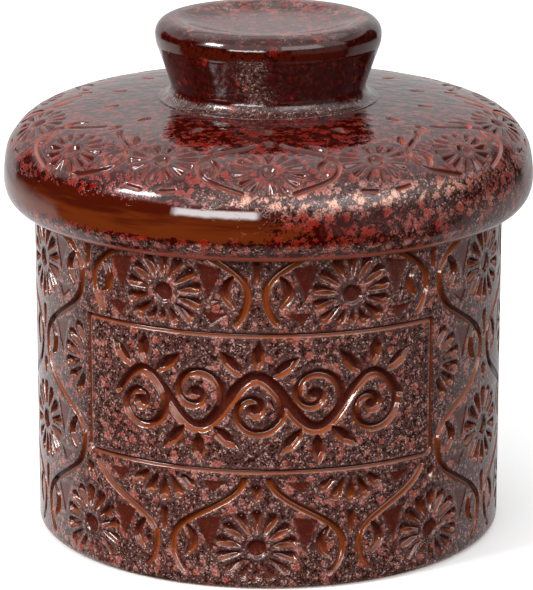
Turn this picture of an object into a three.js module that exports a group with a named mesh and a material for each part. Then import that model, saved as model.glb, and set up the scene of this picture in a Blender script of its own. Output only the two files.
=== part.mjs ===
// Butter crock: a round stoneware crock with a lid that carries a bell-shaped butter cup.
// The cup hangs into the crock, where a little water in the bottom seals its mouth.
// Units are millimetres, +Z is up, and the origin is the centre of the foot, on the table.

import * as THREE from "three";

// Driving dimensions
const AROUND = 48; // facets in a full turn
const LID_RADIUS = 56; // widest part of the lid's rounded shoulder
const LID_EDGE_Z = 70; // lower edge of the lid's skirt
const SHOULDER_Z = 76; // height of the widest part of the shoulder
const COVER_TOP_Z = 92.6; // flat middle of the lid, where the knob stands
const KNOB_TOP_Z = 109.4;
const WALL_RADIUS = 49.6; // outside of the crock
const WALL = 5.5; // thickness of the crock's wall
const RIM_Z = 82; // top of the crock's rim, on which the lid rests
const FLOOR_Z = 8; // inside floor of the crock
const SKIRT_PLAY = 1; // gap between the crock's wall and the lid's skirt
const ROOF = 6.1; // thickness of the lid's flat middle
const BELL_WALL = 5;
const BELL_TOP_RADIUS = 29; // outside of the bell, under the lid
const BELL_MOUTH_RADIUS = 34.5; // outside of the bell, at its mouth
const BELL_MOUTH_Z = 17; // low enough for the mouth to stand in the water

// Dimensions worked out from them
const BORE_RADIUS = WALL_RADIUS - WALL;
const ROOF_Z = COVER_TOP_Z - ROOF; // underside of the lid's flat middle
const SKIRT_RADIUS = WALL_RADIUS + SKIRT_PLAY; // inside of the skirt

// The glazes
const wallGlaze = new THREE.MeshStandardMaterial({ color: 0x4a211c, roughness: 0.15, metalness: 0 });
const lidGlaze = new THREE.MeshStandardMaterial({ color: 0x54201a, roughness: 0.12, metalness: 0 });
const knobGlaze = new THREE.MeshStandardMaterial({ color: 0x5c1d16, roughness: 0.12, metalness: 0 });
const bellGlaze = new THREE.MeshStandardMaterial({ color: 0x3f1d16, roughness: 0.2, metalness: 0 });

// Points of an elliptical arc about (r, z), from one angle to another in degrees,
// where 0 degrees points away from the axis and 90 degrees points up.
function arc(r, z, radiusR, radiusZ, from, to, steps) {
  return Array.from({ length: steps + 1 }, (_, step) => {
    const angle = THREE.MathUtils.degToRad(from + ((to - from) * step) / steps);
    return [r + radiusR * Math.cos(angle), z + radiusZ * Math.sin(angle)];
  });
}

// Points of a Bezier curve in the profile plane, without its first point.
function bezier(points, steps) {
  const curve = new THREE.CubicBezierCurve(...points.map(([r, z]) => new THREE.Vector2(r, z)));
  return curve.getPoints(steps).slice(1).map((point) => [point.x, point.y]);
}

// A solid of revolution about Z. Its profile of [r, z] points runs up the outside
// and comes back down the inside, so that the faces point out.
function turned(name, profile, material) {
  const points = profile.map(([r, z]) => new THREE.Vector2(r, z));
  const geometry = new THREE.LatheGeometry(points, AROUND);
  geometry.rotateX(Math.PI / 2);
  const mesh = new THREE.Mesh(geometry, material);
  mesh.name = name;
  return mesh;
}

// The crock: straight wall, level rim, and a foot ring round a shallow recess.
function crockBody() {
  const footRound = 1.8;
  const footInner = 39;
  const recess = 2;
  const rimRound = 2;
  const floorRound = 3;
  return turned("crock_body", [
    [0, recess],
    [footInner - recess, recess],
    [footInner, 0],
    ...arc(WALL_RADIUS - footRound, footRound, footRound, footRound, -90, 0, 3),
    ...arc(WALL_RADIUS - rimRound, RIM_Z - rimRound, rimRound, rimRound, 0, 90, 3),
    ...arc(BORE_RADIUS + rimRound, RIM_Z - rimRound, rimRound, rimRound, 90, 180, 3),
    ...arc(BORE_RADIUS - floorRound, FLOOR_Z + floorRound, floorRound, floorRound, 0, -90, 3),
    [0, FLOOR_Z],
  ], wallGlaze);
}

// The lid's cover: a low dome with a round shoulder. Its skirt drops over the crock's
// rim, and the flat seat inside it rests on the rim.
function lidCover() {
  const seatInner = 42;
  const roofEdge = 38;
  const lipRadius = 51.2; // where the shoulder's curve ends at the skirt's lower edge
  const flatEdge = 21; // the dome is flat inside this radius
  const haunch = [54.7, 83.6];
  return turned("lid_cover", [
    [0, ROOF_Z],
    [roofEdge, ROOF_Z],
    [seatInner, RIM_Z],
    [SKIRT_RADIUS, RIM_Z],
    [SKIRT_RADIUS, LID_EDGE_Z],
    ...arc(lipRadius, SHOULDER_Z, LID_RADIUS - lipRadius, SHOULDER_Z - LID_EDGE_Z, -90, 0, 5),
    ...bezier([[LID_RADIUS, SHOULDER_Z], [LID_RADIUS, SHOULDER_Z + 2.6], [55.6, 82], haunch], 4),
    ...bezier([haunch, [51, 90], [46, 91.4], [flatEdge, COVER_TOP_Z]], 7),
    [0, COVER_TOP_Z],
  ], lidGlaze);
}

// The knob: a flaring plug with a thick rounded rim and a dished top. Its level top ring
// is the foot on which the lid stands when it is turned over to be filled.
function lidKnob() {
  const collarRadius = 22.2;
  const neckRadius = 20.4;
  const creaseRadius = 23.4;
  const creaseZ = 103.8;
  const rimRadius = 23.8;
  const rimZ = 106.2;
  const ringOuter = 20.6;
  const ringInner = 19.4;
  const dish = 1.7;
  const collarHeight = collarRadius - neckRadius;
  const neckZ = COVER_TOP_Z + collarHeight;
  return turned("lid_knob", [
    [0, COVER_TOP_Z],
    ...arc(collarRadius, neckZ, collarHeight, collarHeight, -90, -180, 3),
    [creaseRadius, creaseZ],
    ...arc(ringOuter, rimZ, rimRadius - ringOuter, KNOB_TOP_Z - rimZ, 0, 90, 5),
    [ringInner, KNOB_TOP_Z],
    ...bezier([[ringInner, KNOB_TOP_Z], [17.6, KNOB_TOP_Z], [15, KNOB_TOP_Z - dish], [9, KNOB_TOP_Z - dish]], 4),
    [0, KNOB_TOP_Z - dish],
  ], knobGlaze);
}

// The butter bell: a flaring tube under the lid, with a rounded lip at its mouth.
function butterBell() {
  const lip = BELL_WALL / 2;
  const lipZ = BELL_MOUTH_Z + lip;
  const boreTop = BELL_TOP_RADIUS - BELL_WALL;
  return turned("butter_bell", [
    [boreTop, ROOF_Z],
    ...arc(BELL_MOUTH_RADIUS - lip, lipZ, lip, lip, -180, 0, 6),
    [BELL_TOP_RADIUS, ROOF_Z],
    [boreTop, ROOF_Z],
  ], bellGlaze);
}

const crock = new THREE.Group();
crock.add(crockBody());

const lid = new THREE.Group();
lid.add(lidCover(), lidKnob(), butterBell());

const butterCrock = new THREE.Group();
butterCrock.add(crock, lid);

export default butterCrock;
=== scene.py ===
"""Looks of the butter crock: carved, reactive-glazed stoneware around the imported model.

Lengths are in millimetres until a mesh is made. Angles run round the crock from its
front, which faces -Y, towards +X.
"""

import math
from types import SimpleNamespace

import bpy
import numpy as np
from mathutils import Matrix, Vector


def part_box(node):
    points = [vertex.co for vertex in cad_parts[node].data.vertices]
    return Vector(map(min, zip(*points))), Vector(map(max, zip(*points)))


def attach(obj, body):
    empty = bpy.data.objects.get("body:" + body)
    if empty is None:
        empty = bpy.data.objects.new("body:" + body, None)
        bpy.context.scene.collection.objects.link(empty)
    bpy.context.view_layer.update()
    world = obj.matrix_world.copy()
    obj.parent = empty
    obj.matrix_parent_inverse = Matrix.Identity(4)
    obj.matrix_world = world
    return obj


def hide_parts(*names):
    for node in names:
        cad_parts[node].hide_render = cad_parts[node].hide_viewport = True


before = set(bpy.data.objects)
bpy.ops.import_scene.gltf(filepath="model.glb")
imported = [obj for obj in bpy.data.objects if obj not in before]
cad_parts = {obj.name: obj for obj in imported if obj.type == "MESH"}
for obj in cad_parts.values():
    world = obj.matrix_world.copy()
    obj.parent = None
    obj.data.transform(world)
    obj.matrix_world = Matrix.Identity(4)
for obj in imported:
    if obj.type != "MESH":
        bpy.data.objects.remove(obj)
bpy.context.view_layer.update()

MM = 0.001


def reach(node):
    """Largest radius, lowest height and highest height of a CAD node, in mm."""
    low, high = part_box(node)
    return high.x / MM, low.z / MM, high.z / MM


WALL_R, FOOT_Z, RIM_Z = reach("crock_body")
LID_R, SKIRT_Z, COVER_Z = reach("lid_cover")
KNOB_R, _, KNOB_Z = reach("lid_knob")
MOUTH_R, MOUTH_Z, ROOF_Z = reach("butter_bell")

FACING = math.radians(3.2)  # how far round towards +X the camera stands, and the lid faces
WALL = 5.5
FLOOR_Z = 8.0
FOOT_HOLLOW = 2.0  # how far the underside is let in
SKIRT_PLAY = 1  # gap between the crock's wall and the lid's skirt
BULGE_Z = 76.0  # where the lid is widest
FINE = 0.26  # row spacing where the clay is carved
PLAIN = 1.2  # row spacing elsewhere
KNOB_ROW = 0.4  # row spacing on the knob
KNOB_COLUMNS = 480
BELL_COLUMNS = 360


# ---------------------------------------------------------------- profiles


def arc(r, z, radius_r, radius_z, start, end, steps=10):
    """Points of an elliptical arc; 0 degrees points away from the axis, 90 degrees up."""
    angles = np.radians(np.linspace(start, end, steps + 1))
    return list(zip(r + radius_r * np.cos(angles), z + radius_z * np.sin(angles)))


def bezier(start, pull_start, pull_end, end, steps=24):
    """Points of a cubic curve between two ends."""
    t = np.linspace(0, 1, steps + 1)[:, None]
    corners = [np.array(point, float) for point in (start, pull_start, pull_end, end)]
    weights = ((1 - t) ** 3, 3 * t * (1 - t) ** 2, 3 * t**2 * (1 - t), t**3)
    return [tuple(point) for point in sum(w * c for w, c in zip(weights, corners))]


def resample(points, spacing):
    """The same path with rows no further apart than spacing(r, z)."""
    path = [points[0]]
    for (r0, z0), (r1, z1) in zip(points, points[1:]):
        length = math.hypot(r1 - r0, z1 - z0)
        if length < 1e-6:
            continue
        steps = max(1, math.ceil(length / spacing((r0 + r1) / 2, (z0 + z1) / 2)))
        for step in range(1, steps + 1):
            path.append((r0 + (r1 - r0) * step / steps, z0 + (z1 - z0) * step / steps))
    return np.array(path)


# ---------------------------------------------------------------- carving


def smooth_step(value, low, high):
    """0 below low, 1 above high and smooth between them."""
    t = np.clip((value - low) / (high - low), 0, 1)
    return t * t * (3 - 2 * t)


def stroke_distance(x, y, points):
    """Signed distance to a chain of tapering round segments."""
    nearest = np.full(x.shape, np.inf)
    for (x0, y0, w0), (x1, y1, w1) in zip(points, points[1:]):
        dx, dy = x1 - x0, y1 - y0
        along = np.clip(((x - x0) * dx + (y - y0) * dy) / (dx * dx + dy * dy + 1e-12), 0, 1)
        gap = np.hypot(x - x0 - along * dx, y - y0 - along * dy)
        nearest = np.minimum(nearest, gap - (w0 + (w1 - w0) * along))
    return nearest


def polygon_distance(x, y, corners):
    """Signed distance to a convex polygon whose corners run anticlockwise."""
    furthest = np.full(x.shape, -np.inf)
    for (x0, y0), (x1, y1) in zip(corners, np.roll(corners, -1, axis=0)):
        length = math.hypot(x1 - x0, y1 - y0)
        furthest = np.maximum(furthest, ((x - x0) * (y1 - y0) - (y - y0) * (x1 - x0)) / length)
    return furthest


SHADE_ROWS = 5  # how many rows the dark glaze and painted shade hang below an upper bank
FADE = 0.3  # how far a cut's glaze takes to fade in at its edge


class Carving:
    """Depth and glaze masks on a grid whose points lie at (across, along) on the surface.
    Rows go up the surface and columns across it."""

    def __init__(self, across, along):
        self.across = across
        self.along = along
        self.depth = np.zeros(across.shape)
        self.pool = np.zeros(across.shape)  # the glaze-filled floor of a cut
        self.rim = np.zeros(across.shape)  # the pale line where the glaze thins round a cut
        self.lip = np.zeros(across.shape)  # the amber lower bank: thin glaze, and painted light as it faces up
        self.sagged_and_shaded = np.zeros(across.shape)  # the dark glaze that sags over the upper bank, and painted shade there as it faces down
        self.thin = np.zeros(across.shape)  # where the banks are sharp enough to break to amber
        self.warm = np.zeros(across.shape)  # where the glaze on the floor is thin and amber; on a stroke's lower end this is painted light as well
        self.beads = []

    def near(self, low, high, margin):
        """The grid points inside a box."""
        found = (self.across > low[0] - margin) & (self.across < high[0] + margin)
        return found & (self.along > low[1] - margin) & (self.along < high[1] + margin)

    def cut(self, distance_at, low, high, depth, bank, gathers=1.0, thin=1.0):
        """Cuts where distance_at is negative; bank is the width of the sloping side. gathers
        says how much glaze pools in it, and thin how far it breaks to amber on the banks."""
        near = self.near(low, high, bank + 1)
        if not near.any():
            return
        distance = distance_at(self.across[near], self.along[near])
        slope = smooth_step(0.15 - distance, 0, bank)
        pool = smooth_step(0.25 - distance, 0, FADE) * gathers
        rim = np.exp(-(((distance - 0.5) / 0.22) ** 2)) * gathers
        self.depth[near] = np.maximum(self.depth[near], depth * slope)
        self.pool[near] = np.maximum(self.pool[near], pool)
        self.rim[near] = np.maximum(self.rim[near], rim)
        self.thin[near] = np.maximum(self.thin[near], (slope > 0) * thin)

    def stroke(self, points, depth, bank, gathers=1.0, thin=1.0, warm=0.0):
        """Cuts a brush stroke: points of (x, y, radius). warm is how amber its lower end is: thin amber
        glaze, with painted light as that end faces up.
        """
        points = np.array(points, float)
        low = (points[:, :2] - points[:, 2:]).min(0)
        high = (points[:, :2] + points[:, 2:]).max(0)
        distance_at = lambda x, y: stroke_distance(x, y, points)
        self.cut(distance_at, low, high, depth, bank, gathers, thin)
        if not warm:
            return
        near = self.near(low, high, 0)
        rise = (self.along[near] - low[1]) / (high[1] - low[1])
        inside = smooth_step(0.1 - distance_at(self.across[near], self.along[near]), 0, FADE)
        inside *= warm * smooth_step(0.62 - rise, 0, 0.5)
        self.warm[near] = np.maximum(self.warm[near], inside)

    def gild(self, points):
        """Thins the glaze to amber all along the floor of a line."""
        points = np.array(points, float)
        low, high = points[:, :2].min(0), points[:, :2].max(0)
        near = self.near(low, high, 1)
        distance = stroke_distance(self.across[near], self.along[near], points)
        self.warm[near] = np.maximum(self.warm[near], 0.85 * smooth_step(-distance, 0, FADE))

    def polygon(self, corners, depth, bank, rounding=0.25):
        """Cuts a flat-bottomed convex polygon whose corners run anticlockwise."""
        corners = np.array(corners, float)
        distance_at = lambda x, y: polygon_distance(x, y, corners) - rounding
        low, high = corners.min(0) - rounding, corners.max(0) + rounding
        self.cut(distance_at, low, high, depth, bank, 1.0, 0.0)

    def bead(self, x, y, radius):
        """A bead of glaze that hangs in the top of a cut."""
        self.beads.append((x, y, radius))

    def glaze(self):
        """Works out how the glaze lies on the banks, once everything is cut: amber with painted light on
        banks that face up, dark sagged glaze with painted shade on and below banks that face down, and on
        the beads.
        """
        rows = np.gradient(self.along, axis=0)
        columns = np.gradient(self.across, axis=1)
        up = np.gradient(self.depth, axis=0) / np.maximum(np.abs(rows), 0.05)
        side = np.gradient(self.depth, axis=1) / np.maximum(np.abs(columns), 0.05)
        slope = np.hypot(up, side)
        facing = up / np.maximum(slope, 1e-6)
        # amber on banks that face up: glaze broken thin there, and painted light
        self.lip = smooth_step(slope, 0.3, 1.2) * smooth_step(facing, -0.5, 0.7) * self.thin
        self.lip = np.maximum(self.lip, self.warm)
        # dark on and below banks that face down: sagged glaze, and painted shade
        above = smooth_step(slope, 0.15, 0.9) * smooth_step(-facing, 0.25, 0.8)
        above *= smooth_step(self.pool + self.rim, 0, 0.3)
        self.sagged_and_shaded = above.copy()
        for k in range(1, SHADE_ROWS + 1):
            lower = np.roll(above, -k, axis=0) * self.pool * (1 - k / (SHADE_ROWS + 1))
            self.sagged_and_shaded = np.maximum(self.sagged_and_shaded, lower)
        for x, y, radius in self.beads:
            near = self.near((x, y), (x, y), 3 * radius)
            away = np.hypot(self.across[near] - x, self.along[near] - y) / radius
            swell = np.exp(-(away**2))
            self.depth[near] -= swell * self.depth[near] * 0.8
            # painted shade, with sagged glaze, on the bead
            self.sagged_and_shaded[near] = np.maximum(self.sagged_and_shaded[near], swell * self.pool[near])
        self.rim *= 1 - self.pool


def moved(stroke, x, y):
    """The same stroke somewhere else."""
    return [(x + px, y + py, width) for px, py, width in stroke]


def runs(points, keep):
    """The unbroken runs of points that pass keep."""
    run = []
    for point in points:
        if keep(point):
            run.append(point)
            continue
        if len(run) > 1:
            yield run
        run = []
    if len(run) > 1:
        yield run


# ---------------------------------------------------------------- ornament

REPEATS = 8  # medallions round the crock
WALL_COLUMNS = 156  # mesh columns in one repeat
PITCH = 2 * math.pi * WALL_R / REPEATS
ROW = 35.3  # height of one repeat of the lattice: two rows, half dropped
FIRST_ROW = 9.0  # height of the lowest row of medallions
BAND_TOP = 72.5  # the wall is plain above this height, under the lid's skirt
BAND_FOOT = 2.6
DEPTH = 0.95  # of the cuts
FILLER_DEPTH = DEPTH * 0.12
LINE = 0.6  # half width of the lattice lines
PETALS = 14
WORN = (-1, 11)  # the ornament fades out down the wall between these heights
PANEL = (-38.75, 38.75, 25.6, 54.2)  # left, right, bottom and top of the panel's frame
PANEL_GAP = 2.0
ORNAMENT_TURN = 0.4 / WALL_R  # the panel sits 0.4 mm round from the front


def lattice_x(height):
    """Half width of the ogee lattice at a height above a medallion's centre. The third
    harmonic squares its shoulders."""
    turn = 2 * math.pi * height / ROW
    swing = 8.39 * math.cos(turn) - 0.57 * math.sin(turn)
    shoulder = 0.3 * math.sin(3 * turn) - 0.47 * math.cos(3 * turn)
    return PITCH / 4 + swing + shoulder


def petals():
    """Strokes of a daisy's petals, each from the middle outwards."""
    for index in range(PETALS):
        angle = 2 * math.pi * index / PETALS
        sin, cos = math.sin(angle), math.cos(angle)
        stroke = []
        for t in np.linspace(0, 1, 7):
            along = 3.5 + 3.85 * t
            stroke.append((along * sin, along * cos, 0.16 + 0.9 * t**0.75))
        yield stroke


def middle(scale=1.0):
    """The round middle of a daisy."""
    return [(0, 0, 1.95 * scale), (0.01, 0, 1.95 * scale)]


def crescent(side, scale=1.0):
    """A curved stroke beside a daisy, thin at both ends."""
    stroke = []
    for t in np.linspace(-1, 1, 9):
        width = scale * (0.95 - 0.55 * t * t)
        stroke.append((side * scale * (13.1 + 1.5 * t * t), scale * (1.0 + 3.0 * t), width))
    return stroke


def drop(height, length, width):
    """A teardrop on the middle line, its narrow end down."""
    low = height - length / 2 + width * 0.5
    high = height + length / 2 - width
    return [(0, low, width * 0.5), (0, high, width)]


def fillers(corners):
    """A three-cornered filler on the right, and its mirror image."""
    for side in (-1, 1):
        points = [(side * x, y) for x, y in corners]
        yield points if side > 0 else points[::-1]


UPPER_FILLER = [(9.7, 0.1), (12.1, 5.6), (7.7, 6.3)]
LOWER_FILLER = [(10.3, -5.7), (12.7, -3.8), (9.1, -3.7)]


def off_panel(point):
    """Whether a point is clear of the panel and the plain strip round it."""
    left, right, bottom, top = PANEL
    beside = point[0] < left - PANEL_GAP or point[0] > right + PANEL_GAP
    return beside or point[1] < bottom - PANEL_GAP or point[1] > top + PANEL_GAP


def in_band(point):
    """Whether a point may carry the wall's repeating ornament."""
    return BAND_FOOT < point[1] < BAND_TOP and off_panel(point)


def beaded_top(carving, stroke, needed=0.7):
    """Hangs a bead in a stroke's upper end, where that end is wide enough."""
    x, y, width = max(stroke, key=lambda point: point[1])
    ends_there = (x, y, width) in (stroke[0], stroke[-1])
    if ends_there and width > needed:
        carving.bead(x, y + width - 0.8, 0.62)


def carve_medallion(carving, x, z, lower_fillers):
    """A daisy with its crescents, drops and fillers, wherever the band leaves room."""
    strokes = list(petals()) + [crescent(-1), crescent(1), drop(12.0, 3.4, 1.0)]
    strokes.append(moved(drop(5.0, 5.2, 0.8), PITCH / 2, 0))
    for stroke in strokes:
        for run in runs(moved(stroke, x, z), in_band):
            carving.stroke(run, DEPTH, bank=0.7, thin=0.5, warm=0.7)
            beaded_top(carving, run)
    for run in runs(moved(middle(), x, z), in_band):
        carving.stroke(run, DEPTH * 0.5, bank=0.35, thin=0.0)
    outlines = list(fillers(UPPER_FILLER))
    if lower_fillers:
        outlines += list(fillers(LOWER_FILLER))
    for outline in outlines:
        corners = [(x + px, z + pz) for px, pz in outline]
        if all(in_band(corner) for corner in corners):
            carving.polygon(corners, FILLER_DEPTH, bank=0.5)


def carve_wall(across, along):
    """The crock's ornament: medallions in an ogee lattice, and the framed panel."""
    carving = Carving(across, along)
    for half in range(-REPEATS - 1, REPEATS + 2):
        dropped = half % 2 == 1
        for z in np.arange(FIRST_ROW + ROW / 2 * dropped, BAND_TOP, ROW):
            carve_medallion(carving, half * PITCH / 2, z, dropped)
    heights = np.arange(BAND_FOOT, BAND_TOP, 0.7)
    for column in range(-REPEATS // 2 - 1, REPEATS // 2 + 2):
        for side in (-1, 1):
            line = [(column * PITCH + side * lattice_x(z - FIRST_ROW), z, LINE) for z in heights]
            for run in runs(line, in_band):
                carving.stroke(run, DEPTH, bank=0.55)
                carving.gild(run)
    carve_panel(carving)
    kept = smooth_step(along, *WORN)
    for name in ("depth", "pool", "rim", "warm"):
        setattr(carving, name, getattr(carving, name) * kept)
    carving.glaze()
    return carving


def carve_panel(carving):
    """A thin frame with nearly square corners, round a vine."""
    left, right, bottom, top = PANEL
    corner = 1.0
    near = corner * 0.3
    frame_line = [(left, top), (left, bottom + corner), (left + near, bottom + near)]
    frame_line += [(left + corner, bottom), (right - corner, bottom), (right - near, bottom + near)]
    frame_line += [(right, bottom + corner), (right, top), (left, top)]
    carving.stroke([(x, z, 0.3) for x, z in frame_line], DEPTH * 0.7, bank=0.4)
    for stroke in vine((left + right) / 2, (bottom + top) / 2):
        carving.stroke(stroke, DEPTH, bank=0.8, thin=0.8)


def vine(middle_x, middle_z):
    """A running scroll: a wavy stem with a spiral in each bend and leaves along its back."""
    half = 30.5
    bends = 5
    wave = 2 * half / bends
    swing = 5.4
    leaves = ((-2.9, 132, 6.6), (0.1, 86, 5.8), (3.1, 38, 6.6))  # place, angle and length
    rise = lambda x: swing * math.sin(math.pi * (x + half) / wave)
    stem = []
    for x in np.linspace(-half, half, 81):
        stem.append((middle_x + x, middle_z + rise(x), 1.35 - 0.6 * (abs(x) / half) ** 3))
    yield stem
    for bend in range(bends):
        side = 1 if bend % 2 == 0 else -1
        bend_x = wave * (bend + 0.5) - half
        branch = (bend_x + 3.6, rise(bend_x + 3.6))
        eye = (bend_x - 0.5, -1.6 * side)
        yield moved(spiral(branch, eye, side), middle_x, middle_z)
        for across, angle, length in leaves:
            foot = (middle_x + bend_x + across, middle_z + rise(bend_x + across) + 1.6 * side)
            yield leaf(*foot, side * angle, length)


def spiral(start, eye, side):
    """A tendril that leaves the stem at start and winds in 1.3 turns to a bud at its eye."""
    dx, dy = start[0] - eye[0], start[1] - eye[1]
    radius, first = math.hypot(dx, dy), math.atan2(dy, dx)
    stroke = []
    for t in np.linspace(0, 1, 36):
        angle = first - side * 2 * math.pi * 1.3 * t
        size = radius * (1 - t) ** 0.9
        width = 1.1 - 0.35 * math.sin(math.pi * t) + 0.4 * t**4
        stroke.append((eye[0] + size * math.cos(angle), eye[1] + size * math.sin(angle), width))
    return stroke


def leaf(x, z, angle, length):
    """A leaf from its foot at (x, z), widest past its middle."""
    cos, sin = math.cos(math.radians(angle)), math.sin(math.radians(angle))
    widths = ((0, 0.3), (0.3, 1.15), (0.6, 1.3), (1.0, 0.25))
    return [(x + cos * length * t, z + sin * length * t, width) for t, width in widths]


LID_REPEATS = 7  # framed daisies round the lid
LID_COLUMNS = 180  # mesh columns in one repeat
LID_SCALE = 0.8  # of the lid's crescents and frames to the wall's
LID_DEPTH = 0.8
FRAMED_R = 50.6  # where the framed daisies sit on the dome
LOOSE_R = 49.0  # where the daisies between them sit
DROPS_R = 32.5  # the inner ring of drops
MIDDLE_DROPS_R = 40  # the drops above the framed daisies


def lid_daisy():
    """A daisy for the lid, wider round the lid than up it."""
    for stroke in list(petals()) + [middle(1.1)]:
        yield [(x * 0.95, y * 0.7, width * 0.8) for x, y, width in stroke]


def lid_frame(side):
    """The line round one side of a framed daisy: x across, y towards the knob."""
    stroke = []
    for y in np.linspace(-5.2, 10.4, 40):
        height = y / LID_SCALE if y > 0 else y / 0.47
        stroke.append((side * LID_SCALE * lattice_x(height), y, LINE * 0.9))
    return stroke


def carve_lid(radii, climb):
    """One repeat of the lid's ornament, a framed daisy in its middle, on rows with these
    radii and lengths of surface below them."""
    turns = math.pi * (2 * np.arange(LID_COLUMNS) / LID_COLUMNS - 1) / LID_REPEATS
    climb_at = lambda r: np.interp(-r, -radii, climb)
    height = lambda r: (climb[:, None] - climb_at(r)) + np.zeros(LID_COLUMNS)
    between = lambda r0, r1: climb_at(r1) - climb_at(r0)
    framed = Carving(radii[:, None] * turns, height(FRAMED_R))
    for stroke in lid_daisy():
        framed.stroke(stroke, LID_DEPTH, bank=1.2, gathers=0.8, thin=0.0)
    for side in (-1, 1):
        framed.stroke(crescent(side, LID_SCALE), LID_DEPTH, bank=0.6)
        framed.stroke(lid_frame(side), LID_DEPTH * 0.75, bank=0.6)
    lid_drop = drop(0, 3.0, 0.85)
    for drop_r in (MIDDLE_DROPS_R, DROPS_R):
        framed.stroke(moved(lid_drop, 0, between(FRAMED_R, drop_r)), LID_DEPTH, bank=0.6)
    layers = [framed]
    for side in (-1, 1):
        turned = turns - side * math.pi / LID_REPEATS
        loose = Carving(radii[:, None] * turned, height(LOOSE_R))
        for stroke in lid_daisy():
            loose.stroke(stroke, LID_DEPTH, bank=1.2, gathers=0.8, thin=0.0)
        loose.stroke(moved(lid_drop, 0, between(LOOSE_R, DROPS_R + 1)), LID_DEPTH, bank=0.6)
        for ear in (-1, 1):
            loose.stroke(moved(crescent(ear, LID_SCALE), -ear * 1.6, 4.4), LID_DEPTH, bank=0.6)
            brim = [(ear * x, -7.6 + 0.02 * x * x, LINE * 0.6) for x in np.linspace(2.2, 5.2, 5)]
            loose.stroke(brim, LID_DEPTH * 0.6, bank=0.5)
        layers.append(loose)
    for name in ("depth", "pool", "rim", "thin"):
        setattr(framed, name, np.maximum.reduce([getattr(layer, name) for layer in layers]))
    framed.glaze()
    return framed


# ---------------------------------------------------------------- meshes

CARVED_MASKS = ("pool", "rim", "lip", "sagged_and_shaded")
MASKS = (*CARVED_MASKS, "haze", "flowers", "waves", "amber", "plain", "bare")


def revolve(name, path, columns, turn=0.0, sink=0.0, masks=()):
    """A turned solid. path runs up the outside and back down the inside, from axis to axis or
    closed on itself. sink pushes the surface in, and masks are kept as attributes."""
    loop = bool(np.allclose(path[0], path[-1]))
    rows = path[:-1] if loop else path
    ahead = np.roll(rows, -1, axis=0) if loop else np.vstack([rows[1:], rows[-1:]])
    behind = np.roll(rows, 1, axis=0) if loop else np.vstack([rows[:1], rows[:-1]])
    tangent = ahead - behind
    tangent /= np.maximum(np.hypot(*tangent.T), 1e-9)[:, None]
    shape = (len(rows), columns)
    sink = np.broadcast_to(sink, shape)
    angles = around(columns, turn)
    r = rows[:, :1] - sink * tangent[:, 1:]
    z = rows[:, 1:] + sink * tangent[:, :1]
    points = np.stack([r * np.sin(angles), -r * np.cos(angles), z], axis=-1).reshape(-1, 3)

    index = np.arange(len(points)).reshape(shape)
    if loop:
        index = np.vstack([index, index[:1]])
    else:
        index[0] = index[0, 0]
        index[-1] = index[-1, 0]
    right = np.roll(index, -1, axis=1)
    quads = np.stack([index[:-1], right[:-1], right[1:], index[1:]], axis=-1).reshape(-1, 4)
    triangles = np.zeros((0, 3), int)
    if not loop:
        triangles = np.vstack([quads[:columns, [0, 2, 3]], quads[-columns:, [0, 1, 2]]])
        quads = quads[columns:-columns]
    used = np.unique(np.concatenate([quads.ravel(), triangles.ravel()]))
    renumber = np.zeros(len(points), int)
    renumber[used] = np.arange(len(used))
    mesh = mesh_of(name, points[used] * MM, renumber[quads], renumber[triangles])
    for mask in MASKS:
        values = np.broadcast_to(dict(masks).get(mask, 0.0), shape).ravel()[used]
        attribute = mesh.attributes.new(mask, "FLOAT", "POINT")
        attribute.data.foreach_set("value", values.astype(np.float32))
    piece = bpy.data.objects.new(name, mesh)
    bpy.context.scene.collection.objects.link(piece)
    return piece


def mesh_of(name, points, quads, triangles):
    """A smooth mesh, made from arrays because it has many points."""
    mesh = bpy.data.meshes.new(name)
    mesh.vertices.add(len(points))
    mesh.vertices.foreach_set("co", points.astype(np.float32).ravel())
    corners = np.concatenate([quads.ravel(), triangles.ravel()])
    sizes = np.concatenate([np.full(len(quads), 4), np.full(len(triangles), 3)])
    starts = np.concatenate([[0], np.cumsum(sizes)[:-1]])
    mesh.loops.add(len(corners))
    mesh.loops.foreach_set("vertex_index", corners.astype(np.int32))
    mesh.polygons.add(len(sizes))
    mesh.polygons.foreach_set("loop_start", starts.astype(np.int32))
    mesh.polygons.foreach_set("use_smooth", np.ones(len(sizes), bool))
    mesh.update(calc_edges=True)
    mesh.validate()
    return mesh


def around(columns, turn=0.0):
    """Angle of each column of a turned mesh, from the front."""
    return turn - math.pi + 2 * math.pi * np.arange(columns) / columns


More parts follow.
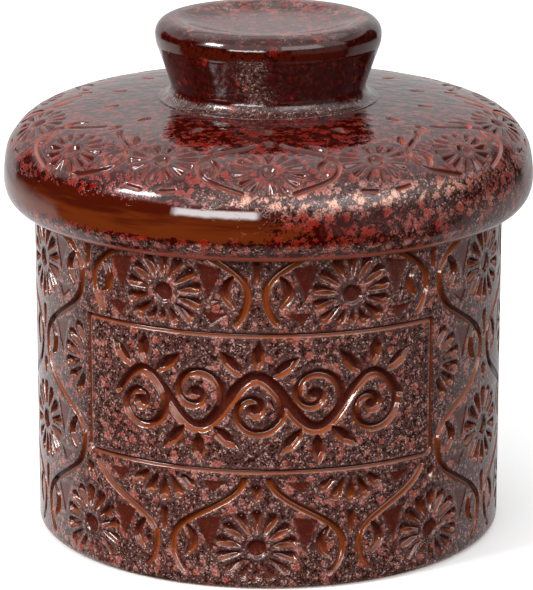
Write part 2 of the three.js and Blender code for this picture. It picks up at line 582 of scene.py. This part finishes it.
def crock_piece():
    """The crock, whose profile runs from the middle of its foot to the middle of its floor."""
    bore = WALL_R - WALL
    foot_r = WALL_R - 7.8  # where the foot ring begins
    foot_round = 1.8
    rim_round = 2
    floor_round = 3
    hollow = (foot_r - 4, FOOT_HOLLOW)
    outline = [(0, FOOT_HOLLOW), hollow]
    outline += bezier(hollow, (foot_r - 2, FOOT_HOLLOW), (foot_r - 2.4, 0), (foot_r, 0), 8)
    outline += arc(WALL_R - foot_round, foot_round, foot_round, foot_round, -90, 0)
    outline += arc(WALL_R - rim_round, RIM_Z - rim_round, rim_round, rim_round, 0, 90)
    outline += arc(bore + rim_round, RIM_Z - rim_round, rim_round, rim_round, 90, 180)
    outline += arc(bore - floor_round, FLOOR_Z + floor_round, floor_round, floor_round, 0, -90)
    outline += [(0, FLOOR_Z)]
    carved = lambda r, z: r > WALL_R - 0.05 and z < BAND_TOP + 1
    path = resample(outline, lambda r, z: FINE if carved(r, z) else PLAIN)
    r, z = path[:, :1], path[:, 1:]
    columns = REPEATS * WALL_COLUMNS
    outside = (r > WALL_R - 0.05) & (z < BAND_TOP + 4)
    along = np.where(outside, z, 1e4) + np.zeros(columns)
    carving = carve_wall(WALL_R * around(columns) + np.zeros(along.shape), along)
    inside = (np.arange(len(path)) > np.argmax(z))[:, None] | (r < foot_r - 1)
    masks = {
        **{mask: getattr(carving, mask) for mask in CARVED_MASKS},
        "haze": 1.0,
        "flowers": 0.36,
        "plain": inside * 1.0,
        "bare": smooth_step(0.5 - z, 0, 0.2),
    }
    return revolve("crock_glazed", path, columns, ORNAMENT_TURN, carving.depth, masks)


def cover_outline():
    """The cover's underside and skirt, and its shoulder and dome, from axis to axis."""
    bore = WALL_R + SKIRT_PLAY
    roof_edge = (37, ROOF_Z)
    seat = (42.5, RIM_Z)  # from here outwards the cover rests on the rim
    lip_r = 51.2  # lowest point of the skirt
    bulge = (LID_R, BULGE_Z)
    haunch = (LID_R - 1.3, 83.6)
    flat_edge = (21, COVER_Z - 0.1)
    under = [(0, ROOF_Z), roof_edge]
    under += bezier(roof_edge, (39.5, ROOF_Z), (40, RIM_Z + 1.2), seat, 10)
    under += arc(bore - 1, RIM_Z - 1, 1, 1, 90, 0, 6)
    under += arc(bore + 0.3, SKIRT_Z + 0.3, 0.3, 0.3, 180, 270, 4)
    under += arc(lip_r, BULGE_Z, LID_R - lip_r, BULGE_Z - SKIRT_Z, -90, 0, 24)
    over = bezier(bulge, (LID_R, 78.6), (LID_R - 0.4, 82.0), haunch)
    over += bezier(haunch, (51, 90), (46, 91.4), flat_edge, 60)
    over += [(0, COVER_Z)]
    return under, over


def cover_piece():
    """The lid's cover, with its ornament turned to face the camera."""
    under_outline, over_outline = cover_outline()
    carved = lambda r, z: z > BULGE_Z + 4 and 28 < r and z > RIM_Z + 0.5 + (r < 52) * 2
    path = resample(under_outline + over_outline, lambda r, z: FINE if carved(r, z) else PLAIN)
    under = len(resample(under_outline, lambda r, z: PLAIN))
    r = path[:, 0]
    climb = np.concatenate([[0], np.cumsum(np.hypot(*np.diff(path, axis=0).T))])
    over = np.arange(len(path)) >= under
    dome = over & (r > 22)
    columns = LID_REPEATS * LID_COLUMNS
    one = carve_lid(r[dome], climb[dome])
    sink = np.zeros((len(path), columns))
    sink[dome] = np.tile(one.depth, (1, LID_REPEATS))
    masks = {}
    for mask in CARVED_MASKS:
        masks[mask] = np.zeros((len(path), columns))
        masks[mask][dome] = np.tile(getattr(one, mask), (1, LID_REPEATS))
    masks.update(cover_masks(path, columns, over[:, None], masks["lip"]))
    masks["plain"] = (np.arange(len(path)) < under * 0.6)[:, None] * 1.0
    return revolve("cover_glazed", path, columns, FACING, sink, masks)


def cover_masks(path, columns, over, lip):
    """Where the cover's glaze is hazy, flowered, rippled or amber; over is its visible side,
    and lip is where its cuts already break to amber, with painted light on their lower banks.
    The haze on the shoulder carries a painted reflection of the key light, right of the front."""
    r, up = path[:, :1], path[:, 1:]
    side = np.degrees(around(columns, FACING))
    front = smooth_step(side, -18, -2) * (0.4 + 0.6 * smooth_step(-side, -62, -36))
    # hazy glaze on the shoulder, with a painted reflection of the key light where it mirrors there,
    # strongest right of the front
    shoulder_haze_and_sheen = 1.8 * np.exp(-(((up - 82.8) / 2.3) ** 2)) * (0.05 + 0.95 * front)
    band_haze = 0.5 * smooth_step(83 - up, 0, 3) * smooth_step(side, 14, 40)
    skirt_haze = smooth_step(SKIRT_Z + 4.6 - up, 0, 1.6)
    haze = np.maximum(np.maximum(shoulder_haze_and_sheen, band_haze), skirt_haze)
    skirt_edge = smooth_step(SKIRT_Z + 1.7 - up, 0, 0.4) * (r > WALL_R + 2)
    band_top = 84.5 - 2.5 * smooth_step(-side, 45, 70)
    band = smooth_step(up, 73.4, 76.4) * smooth_step(-up, -band_top, -80)
    band_sides = smooth_step(side, -130, -100) * smooth_step(-side, -24, 10)
    return {
        "haze": np.where(over, haze, 0.3),
        "flowers": np.where(r > 54, 0.8, 0.62 + 0.38 * smooth_step(r, 34, 44)),
        "waves": smooth_step(up, 86, 89) * over,
        "lip": np.maximum(lip, skirt_edge),
        "amber": band * band_sides * over,
    }


def knob_piece():
    """The knob: a foot that flows into the cover, a flaring side, and a thick dished top."""
    base = COVER_Z - 0.3  # just inside the cover
    collar = (23.2, COVER_Z - 0.05)
    neck = (20.5, 95.2)
    crease = (23.35, 103.5)
    widest = (KNOB_R, 106.2)
    ring_outer = 20.6  # the level ring on top, on which a lid turned over stands
    ring_inner = 19.4
    dish_z = KNOB_Z - 1.7
    outline = [(0, base), (collar[0], base), collar]
    outline += bezier(collar, (21.4, COVER_Z + 0.1), (20.6, 93.4), neck, 12)
    outline += bezier(neck, (21.4, 98), (22.6, 101.4), crease, 12)
    outline += bezier(crease, (23.5, 103.9), (23.75, 104.2), widest, 10)
    outline += arc(ring_outer, widest[1], KNOB_R - ring_outer, KNOB_Z - widest[1], 0, 90, 20)
    outline += [(ring_inner, KNOB_Z)]
    outline += bezier((ring_inner, KNOB_Z), (17.6, KNOB_Z), (15, dish_z), (9, dish_z), 20)
    outline += [(0, dish_z)]
    path = resample(outline, lambda r, z: KNOB_ROW)
    r, z = path[:, :1], path[:, 1:]
    side = np.degrees(around(KNOB_COLUMNS))
    top_haze = 0.3 * smooth_step(z, 107, 109)
    foot_haze = 0.8 * smooth_step(-z, -94.8, -93.6)
    patch_haze = 0.9 * np.exp(-(((side + 5) / 9) ** 2)) * smooth_step(z, 94, 96) * (z < 105)
    masks = {
        "haze": top_haze + patch_haze + foot_haze,
        "flowers": 0.05 + (z > 106) * 0.95 * smooth_step(-r, -22, -20),
        "amber": 0.55 * smooth_step(z, 103.9, 104.6) * smooth_step(-z, -108.0, -106.4),
    }
    return revolve("knob_glazed", path, KNOB_COLUMNS, masks=masks)


def bell_piece():
    """The bell: an open tube that flares to a rounded lip and is faired into the cover."""
    thick = 5.0
    lip_r = MOUTH_R - thick / 2
    lip_z = MOUTH_Z + thick / 2
    top = ROOF_Z + 0.5  # just inside the cover
    outside = (29, ROOF_Z - 2)  # where the outside begins to flare into the cover
    inside = (24, ROOF_Z - 2.5)
    outline = arc(lip_r, lip_z, thick / 2, thick / 2, -90, 0)
    outline += [outside]
    outline += bezier(outside, (29.2, ROOF_Z - 0.6), (30, ROOF_Z), (31.2, top), 6)
    outline += [(22, top)]
    outline += bezier((22, top), (23.4, ROOF_Z), (24, ROOF_Z - 0.8), inside, 6)
    outline += arc(lip_r, lip_z, thick / 2, thick / 2, 180, 270)
    path = resample(outline, lambda r, z: PLAIN)
    return revolve("bell_glazed", path, BELL_COLUMNS, masks={"plain": 1.0})


# ---------------------------------------------------------------- materials


def srgb(red, green, blue):
    """Linear colour, as nodes want it, of a display colour given in 0 to 255."""
    values = [v / 255 for v in (red, green, blue)]
    linear = [v / 12.92 if v <= 0.04045 else ((v + 0.055) / 1.055) ** 2.4 for v in values]
    return (*linear, 1.0)


class Nodes:
    """Makes nodes in a tree. Inputs may be numbers, colours or other nodes' outputs."""

    def __init__(self, tree):
        self.tree = tree
        tree.nodes.clear()

    def add(self, kind, inputs=None, out=0, **settings):
        node = self.tree.nodes.new(kind)
        for key, value in settings.items():
            setattr(node, key, value)
        for key, value in (inputs or {}).items():
            self.plug(node.inputs[key], value)
        return node.outputs[out] if node.outputs else node

    def plug(self, socket, value):
        if isinstance(value, bpy.types.NodeSocket):
            self.tree.links.new(value, socket)
            return
        socket.default_value = value

    def math(self, operation, a, b=0.0, clamp=False):
        return self.add("ShaderNodeMath", {0: a, 1: b}, operation=operation, use_clamp=clamp)

    def linear(self, value, factor, offset):
        """factor * value + offset."""
        return self.add("ShaderNodeMath", {0: value, 1: factor, 2: offset}, operation="MULTIPLY_ADD")

    def vector(self, operation, a, b):
        return self.add("ShaderNodeVectorMath", {0: a, 1: b}, operation=operation)

    def scaled(self, vector, factor):
        return self.add("ShaderNodeVectorMath", {0: vector, "Scale": factor}, operation="SCALE")

    def step(self, value, low, high, to_low=0.0, to_high=1.0):
        """Smooth step from to_low, where value is low, to to_high, where it is high."""
        inputs = {"Value": value, 1: low, 2: high, 3: to_low, 4: to_high}
        return self.add("ShaderNodeMapRange", inputs, interpolation_type="SMOOTHSTEP")

    def mix(self, factor, a, b):
        inputs = {0: factor, 6: a, 7: b}
        return self.add("ShaderNodeMix", inputs, 2, data_type="RGBA")

    def blend(self, factor, a, b):
        return self.add("ShaderNodeMix", {0: factor, 2: a, 3: b}, 0, data_type="FLOAT")

    def noise(self, vector, scale, detail=2.0, out=0):
        inputs = {"Vector": vector, "Scale": scale, "Detail": detail}
        return self.add("ShaderNodeTexNoise", inputs, out)

    def attribute(self, name):
        return self.add("ShaderNodeAttribute", out=2, attribute_name=name)


# Clear glaze, where the haze mask is low
CLEAR_GROUND = srgb(50, 5, 2)
CLEAR_DEEP = srgb(34, 3, 1)
CLEAR_GLOW = srgb(104, 12, 4)
CLEAR_BLOOM = (srgb(112, 10, 3), srgb(128, 30, 7))
CLEAR_HEART = srgb(96, 10, 3)

# Hazy glaze, where it is high
HAZE_GROUND = srgb(72, 47, 43)
HAZE_DARK = srgb(34, 12, 7)
HAZE_BLOOM = (srgb(138, 76, 66), srgb(138, 62, 40))
HAZE_HEART = srgb(112, 26, 16)
SPECK = srgb(166, 132, 124)
# painted cream reflection of the key light on the crystals of the lid's shoulder
PAINTED_SHEEN = srgb(214, 160, 132)

# Cuts: their floors, their lower banks with painted light, the sagging glaze and painted shade under the
# upper ones, their rims
WALL_GROOVE = srgb(66, 22, 13)
WALL_LIP = srgb(140, 66, 24)
LID_GROOVE = srgb(84, 40, 32)
LID_LIP = srgb(156, 76, 58)
SAGGED_AND_SHADED = srgb(34, 3, 2)
RIM = srgb(112, 88, 84)

# The amber band, the plain glaze inside, and bare clay
AMBER = srgb(86, 33, 8)
AMBER_DEEP = srgb(58, 12, 3)
INSIDE = (srgb(50, 17, 9), srgb(82, 34, 18))
INSIDE_SPECK = srgb(112, 70, 50)
CLAY = srgb(180, 146, 116)

BLOOM_SIZE = 2.1  # width of the largest crystals' cells


def grains(nodes, place):
    """The noises that vary the glaze, from the finest to the broadest."""
    shifted = lambda *by: nodes.vector("ADD", place, by)
    mottle = nodes.noise(shifted(5, 41, 11), 1.1, 3)
    speckle = nodes.noise(shifted(31, 7, 3), 2.4, 2)
    return SimpleNamespace(
        grain=nodes.noise(place, 2.6, 2),
        flecks=nodes.math("ADD", speckle, nodes.linear(mottle, 0.5, -0.25)),
        mottle=mottle,
        clusters=nodes.noise(shifted(61, 8, 2), 0.3, 2),
        patches=nodes.noise(shifted(17, 3, 29), 0.22, 3),
    )


def ground(nodes, noises, haze):
    """The glaze between the crystals."""
    fine = nodes.step(noises.grain, 0.5, 0.38)
    dark = nodes.math("MAXIMUM", fine, nodes.step(noises.mottle, 0.48, 0.34))
    hazy = nodes.mix(dark, HAZE_GROUND, HAZE_DARK)
    hazy = nodes.mix(nodes.step(noises.flecks, 0.58, 0.7, 0.0, 0.85), hazy, SPECK)
    clear = nodes.mix(nodes.step(noises.mottle, 0.35, 0.62), CLEAR_DEEP, CLEAR_GROUND)
    clear = nodes.mix(nodes.step(noises.mottle, 0.56, 0.7, 0.0, 0.4), clear, CLEAR_GLOW)
    return nodes.mix(haze, clear, hazy)


def blooms(nodes, under, place, size, amount, grain, haze, seed):
    """Lays flower-like crystals over the colour under; amount from 0 to 1 is how many show.
    Gives the new colour and where the crystals are."""
    shifted = nodes.vector("ADD", place, (seed * 13.7, seed * 5.1, seed * 9.3))
    cells = nodes.add("ShaderNodeTexVoronoi", {"Vector": shifted, "Scale": 1 / size}).node.outputs
    random = nodes.add("ShaderNodeSeparateColor", {0: cells["Color"]}).node.outputs
    radius = nodes.linear(random[0], 0.3, 0.28)
    inward = nodes.math("SUBTRACT", radius, nodes.math("ADD", cells["Distance"], grain))
    kept = nodes.step(nodes.math("SUBTRACT", amount, random[1]), -0.02, 0.05)
    mask = nodes.math("MULTIPLY", nodes.step(inward, 0.0, 0.1), kept)
    heart = nodes.step(nodes.math("DIVIDE", inward, radius), 0.45, 0.7)
    clear = nodes.mix(random[2], *CLEAR_BLOOM)
    hazy = nodes.mix(random[2], *HAZE_BLOOM)
    petal = nodes.mix(haze, clear, hazy)
    flower = nodes.mix(nodes.math("MULTIPLY", heart, 0.75), petal, nodes.mix(haze, CLEAR_HEART, HAZE_HEART))
    return nodes.mix(nodes.math("MULTIPLY", mask, 0.9), under, flower), mask


def crystals(nodes, place, noises, masks, haze, under):
    """Two sizes of flower-like crystal over the colour under, speckled pale in the haze, with a painted
    cream reflection of the key light where the haze is thickest, on the lid's shoulder. Gives the new
    colour and where the crystals are."""
    wobble = nodes.vector("SUBTRACT", nodes.noise(place, 0.9, 1, 1), (0.5, 0.5, 0.5))
    warped = nodes.vector("ADD", place, nodes.scaled(wobble, 0.4))
    ragged = nodes.linear(noises.grain, 1.1, -0.55)
    clustered = nodes.step(noises.clusters, 0.38, 0.58, 0.35, 1.2)
    amount = nodes.math("MULTIPLY", masks["flowers"], clustered)
    colour, large = blooms(nodes, under, warped, BLOOM_SIZE, amount, ragged, haze, 1)
    colour, small = blooms(nodes, colour, warped, BLOOM_SIZE * 0.6, amount, ragged, haze, 2)
    bloom = nodes.math("MAXIMUM", large, small)
    pale = nodes.math("MULTIPLY", bloom, nodes.step(noises.flecks, 0.5, 0.62, 0.0, 0.5))
    colour = nodes.mix(nodes.math("MULTIPLY", pale, haze), colour, SPECK)
    # painted cream reflection of the key light on the crystals, where the shoulder's haze is thickest
    painted_sheen = nodes.math("MULTIPLY", nodes.step(masks["haze"], 1.0, 1.7, 0.0, 0.75), bloom)
    painted_sheen = nodes.math("MULTIPLY", painted_sheen, nodes.step(noises.grain, 0.4, 0.5))
    return nodes.mix(painted_sheen, colour, PAINTED_SHEEN), bloom


def honey(nodes, place):
    """Amber glaze that has run in level streaks, lighter low on the lid's edge."""
    stretched = nodes.add("ShaderNodeMapping", {"Vector": place, "Scale": (0.1, 0.1, 0.8)})
    streaks = nodes.linear(nodes.noise(stretched, 1.0, 2), 2.0, -1.0)
    height = nodes.add("ShaderNodeSeparateXYZ", {0: place}, 2)
    low = nodes.linear(height, -0.2, 0.2 * (BULGE_Z + 5))
    return nodes.mix(nodes.step(nodes.math("ADD", low, streaks), 0.0, 1.0), AMBER_DEEP, AMBER)


def amber_cover(nodes, noises, mask):
    """How far amber glaze hides what is under it: the amber mask with a broken edge."""
    edge = nodes.linear(noises.patches, 1.0, -0.5)
    edge = nodes.math("ADD", edge, nodes.linear(noises.mottle, 1.2, -0.6))
    edge = nodes.math("ADD", edge, nodes.linear(noises.grain, 0.8, -0.4))
    cover = nodes.step(nodes.math("ADD", mask, edge), 0.4, 0.62)
    return nodes.math("MULTIPLY", cover, nodes.step(mask, 0.02, 0.3))


def inside_colour(nodes, noises):
    """The mottled brown glaze of the bell and the crock's inside."""
    cloudy = nodes.math("ADD", noises.mottle, nodes.linear(noises.patches, 1.0, -0.5))
    inside = nodes.mix(nodes.step(cloudy, 0.3, 0.62), *INSIDE)
    return nodes.mix(nodes.step(noises.flecks, 0.6, 0.72, 0.0, 0.7), inside, INSIDE_SPECK)


def relief(nodes, noises, masks, haze, crystal, smooth):
    """Bump in mm: crystals and grain stand up a little, and the dome's glaze is rippled."""
    roughened = nodes.math("MULTIPLY", noises.grain, nodes.linear(haze, 0.05, 0.01))
    height = nodes.math("ADD", nodes.linear(crystal, 0.02, 0.0), roughened)
    height = nodes.math("MULTIPLY", height, nodes.math("SUBTRACT", 1.0, smooth))
    waves = nodes.math("MULTIPLY", nodes.linear(masks["waves"], 0.16, 0.02), noises.clusters)
    height = nodes.math("ADD", height, waves)
    return nodes.add("ShaderNodeBump", {"Strength": 1.0, "Distance": MM, "Height": height})


def glaze(name, groove, lip, sag_and_shade_strength):
    """Clear red-brown glaze that turns to grey, speckled haze where the haze mask is high.
    groove and lip colour the floors and lower banks of the cuts, where the lower banks carry painted
    light as well as amber glaze; the last argument is how dark the upper banks are, with sagged
    glaze and painted shade."""
    material = bpy.data.materials.new(name)
    material.use_nodes = True
    nodes = Nodes(material.node_tree)
    place = nodes.scaled(nodes.add("ShaderNodeTexCoord", out=3), 1 / MM)
    masks = {mask: nodes.attribute(mask) for mask in MASKS}
    noises = grains(nodes, place)
    uneven = nodes.linear(noises.patches, 2.4, -1.2)
    uneven = nodes.math("MULTIPLY", uneven, nodes.step(masks["haze"], 0.0, 0.3))
    haze = nodes.math("ADD", masks["haze"], uneven, clamp=True)

    colour, bloom = crystals(nodes, place, noises, masks, haze, ground(nodes, noises, haze))
    amber = amber_cover(nodes, noises, masks["amber"])
    colour = nodes.mix(amber, colour, honey(nodes, place))
    # lip is amber glaze with painted light, and the upper banks' dark is sagged glaze with painted shade
    for mask, strength, over in (
        ("rim", 0.15, RIM),
        ("pool", 0.92, groove),
        ("lip", 0.9, lip),
        ("sagged_and_shaded", sag_and_shade_strength, SAGGED_AND_SHADED),
        ("plain", 1.0, inside_colour(nodes, noises)),
        ("bare", 1.0, CLAY),
    ):
        colour = nodes.mix(nodes.math("MULTIPLY", masks[mask], strength), colour, over)

    smooth = nodes.math("MAXIMUM", masks["pool"], amber)
    crystal = nodes.math("MULTIPLY", bloom, nodes.math("SUBTRACT", 1.0, smooth))
    matte = nodes.math("MULTIPLY", crystal, nodes.linear(haze, 0.85, 0.15))
    rough = nodes.blend(haze, 0.03, 0.09)
    for where, roughness in ((matte, 0.27), (smooth, 0.03), (masks["plain"], 0.2), (masks["bare"], 0.8)):
        rough = nodes.blend(where, rough, roughness)
    inputs = {
        "Base Color": colour,
        "Roughness": rough,
        "IOR": 1.5,
        "Specular IOR Level": nodes.linear(matte, 0.4, 0.5),
        "Normal": relief(nodes, noises, masks, haze, crystal, smooth),
    }
    shader = nodes.add("ShaderNodeBsdfPrincipled", inputs)
    nodes.add("ShaderNodeOutputMaterial", {"Surface": shader})
    return material


# ---------------------------------------------------------------- studio

GLOOM = 0.02  # between the panels
SURROUNDINGS = (
    # azimuth from, to, elevation from, to, softness in degrees, brightness
    (-75, 90, 13, 48, 6, 1.85),  # broad front light
    (17, 62, 13, 38, 4, 5.5),  # key light, on the right
    (-70, -46, 14, 42, 4, 4.0),  # window, on the left
    (-68, -50, 24, 37, 4, 55.0),  # its bright pane
    (-37, -1, 1, 9, 4, 20.0),  # low window that the lid's edge mirrors
    (27, 88, -15, 13, 4, 0.4),  # low fill on the right
    (-200, 200, 40, 100, 8, 1.2),  # ceiling
    (95, 200, 42, 74, 8, 2.0),  # back of the ceiling, right and left
    (-200, -95, 42, 74, 8, 2.0),
    (-200, 200, 30, 60, 8, 0.9),  # top of the walls
    (88, 200, 24, 34, 5, 1.1),  # back wall, which the dome and the knob's top mirror
    (-200, -98, 16, 34, 5, 1.1),
    (146, 200, -12, 34, 5, 0.85),
    (-200, -136, -12, 34, 5, 0.85),
    (95, 200, -50, -10, 8, 0.7),  # light from low down behind
    (-200, -100, -50, -10, 8, 1.2),
    (-180, 180, -100, -65, 8, 0.4),
)
KEY = ((17, 62, 13, 38, 4, 9.0),)  # the key light as it lights the clay, brighter than it mirrors
BELOW = 0.35  # what the pale floor sends back up


def window(nodes, value, low, high, soft):
    """1 between low and high, with soft edges."""
    rise = nodes.step(value, low - soft / 2, low + soft / 2)
    fall = nodes.step(value, high + soft / 2, high - soft / 2)
    return nodes.math("MULTIPLY", rise, fall)


def panels(nodes, azimuth, elevation, lit):
    """The brightest of the lit panels in each direction."""
    light = GLOOM
    for left, right, low, high, soft, brightness in lit:
        across = window(nodes, azimuth, left, right, soft)
        panel = nodes.math("MULTIPLY", across, window(nodes, elevation, low, high, soft))
        light = nodes.math("MAXIMUM", light, nodes.math("MULTIPLY", panel, brightness))
    return light


def studio():
    """Soft panels all round, dark below; the camera itself sees plain white."""
    world = bpy.data.worlds.new("studio")
    world.use_nodes = True
    bpy.context.scene.world = world
    nodes = Nodes(world.node_tree)
    direction = nodes.add("ShaderNodeTexCoord", out=0)
    parts = nodes.add("ShaderNodeSeparateXYZ", {0: direction}).node.outputs
    degrees = 180 / math.pi
    back = nodes.math("MULTIPLY", parts[1], -1.0)
    azimuth = nodes.math("MULTIPLY", nodes.math("ARCTAN2", parts[0], back), degrees)
    elevation = nodes.math("MULTIPLY", nodes.math("ARCSINE", parts[2]), degrees)
    light = panels(nodes, azimuth, elevation, SURROUNDINGS)
    scattered = nodes.math("MULTIPLY", nodes.step(elevation, 5, -5), BELOW)
    scattered = nodes.math("MAXIMUM", scattered, panels(nodes, azimuth, elevation, KEY))
    path = nodes.add("ShaderNodeLightPath").node.outputs
    scattered = nodes.math("MULTIPLY", scattered, path["Is Diffuse Ray"])
    light = nodes.math("MAXIMUM", light, scattered)
    surroundings = nodes.add("ShaderNodeBackground", {"Strength": light})
    plain = nodes.add("ShaderNodeBackground", {"Color": (1, 1, 1, 1), "Strength": 1.0})
    surface = nodes.add("ShaderNodeMixShader", {0: path["Is Camera Ray"], 1: surroundings, 2: plain})
    nodes.add("ShaderNodeOutputWorld", {"Surface": surface})


def floor():
    """A plain pale floor that takes shadows but is left out of the glaze's reflections."""
    size = 6.0
    mesh = bpy.data.meshes.new("floor")
    corners = [(-size, -size, 0), (size, -size, 0), (size, size, 0), (-size, size, 0)]
    mesh.from_pydata(corners, [], [(0, 1, 2, 3)])
    piece = bpy.data.objects.new("floor", mesh)
    bpy.context.scene.collection.objects.link(piece)
    material = bpy.data.materials.new("pale_floor")
    material.use_nodes = True
    nodes = Nodes(material.node_tree)
    shader = nodes.add("ShaderNodeBsdfDiffuse", {"Color": (0.97, 0.97, 0.97, 1)})
    nodes.add("ShaderNodeOutputMaterial", {"Surface": shader})
    mesh.materials.append(material)
    piece.visible_glossy = False
    piece.visible_diffuse = False


def camera():
    """A long lens that looks a little down on the crock, from a little to its right."""
    distance = 720.0
    elevation = math.radians(15.6)
    aim = Vector((-0.4, 0, 48.8)) * MM
    away = Vector((math.sin(FACING) * math.cos(elevation),
                   -math.cos(FACING) * math.cos(elevation), math.sin(elevation)))
    data = bpy.data.cameras.new("camera")
    data.lens = 205.0
    data.clip_start = 0.01
    data.clip_end = 100
    eye = bpy.data.objects.new("camera", data)
    bpy.context.scene.collection.objects.link(eye)
    eye.location = aim + away * distance * MM
    eye.rotation_mode = "QUATERNION"
    eye.rotation_quaternion = (-away).to_track_quat("-Z", "Y")
    bpy.context.scene.camera = eye


# ---------------------------------------------------------------- everything

camera()
bpy.context.scene.view_settings.view_transform = "Standard"
studio()
floor()

wall_glaze = glaze("wall_glaze", WALL_GROOVE, WALL_LIP, 0.92)
lid_glaze = glaze("lid_glaze", LID_GROOVE, LID_LIP, 0.4)
for make, node, body, slot, material in (
    (crock_piece, "crock_body", "crock", "crock_glaze", wall_glaze),
    (cover_piece, "lid_cover", "lid", "lid_glaze", lid_glaze),
    (knob_piece, "lid_knob", "lid", "knob_glaze", lid_glaze),
    (bell_piece, "butter_bell", "lid", "bell_glaze", lid_glaze),
):
    piece = make()
    piece.data.materials.append(material)
    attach(piece, body)
    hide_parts(node)
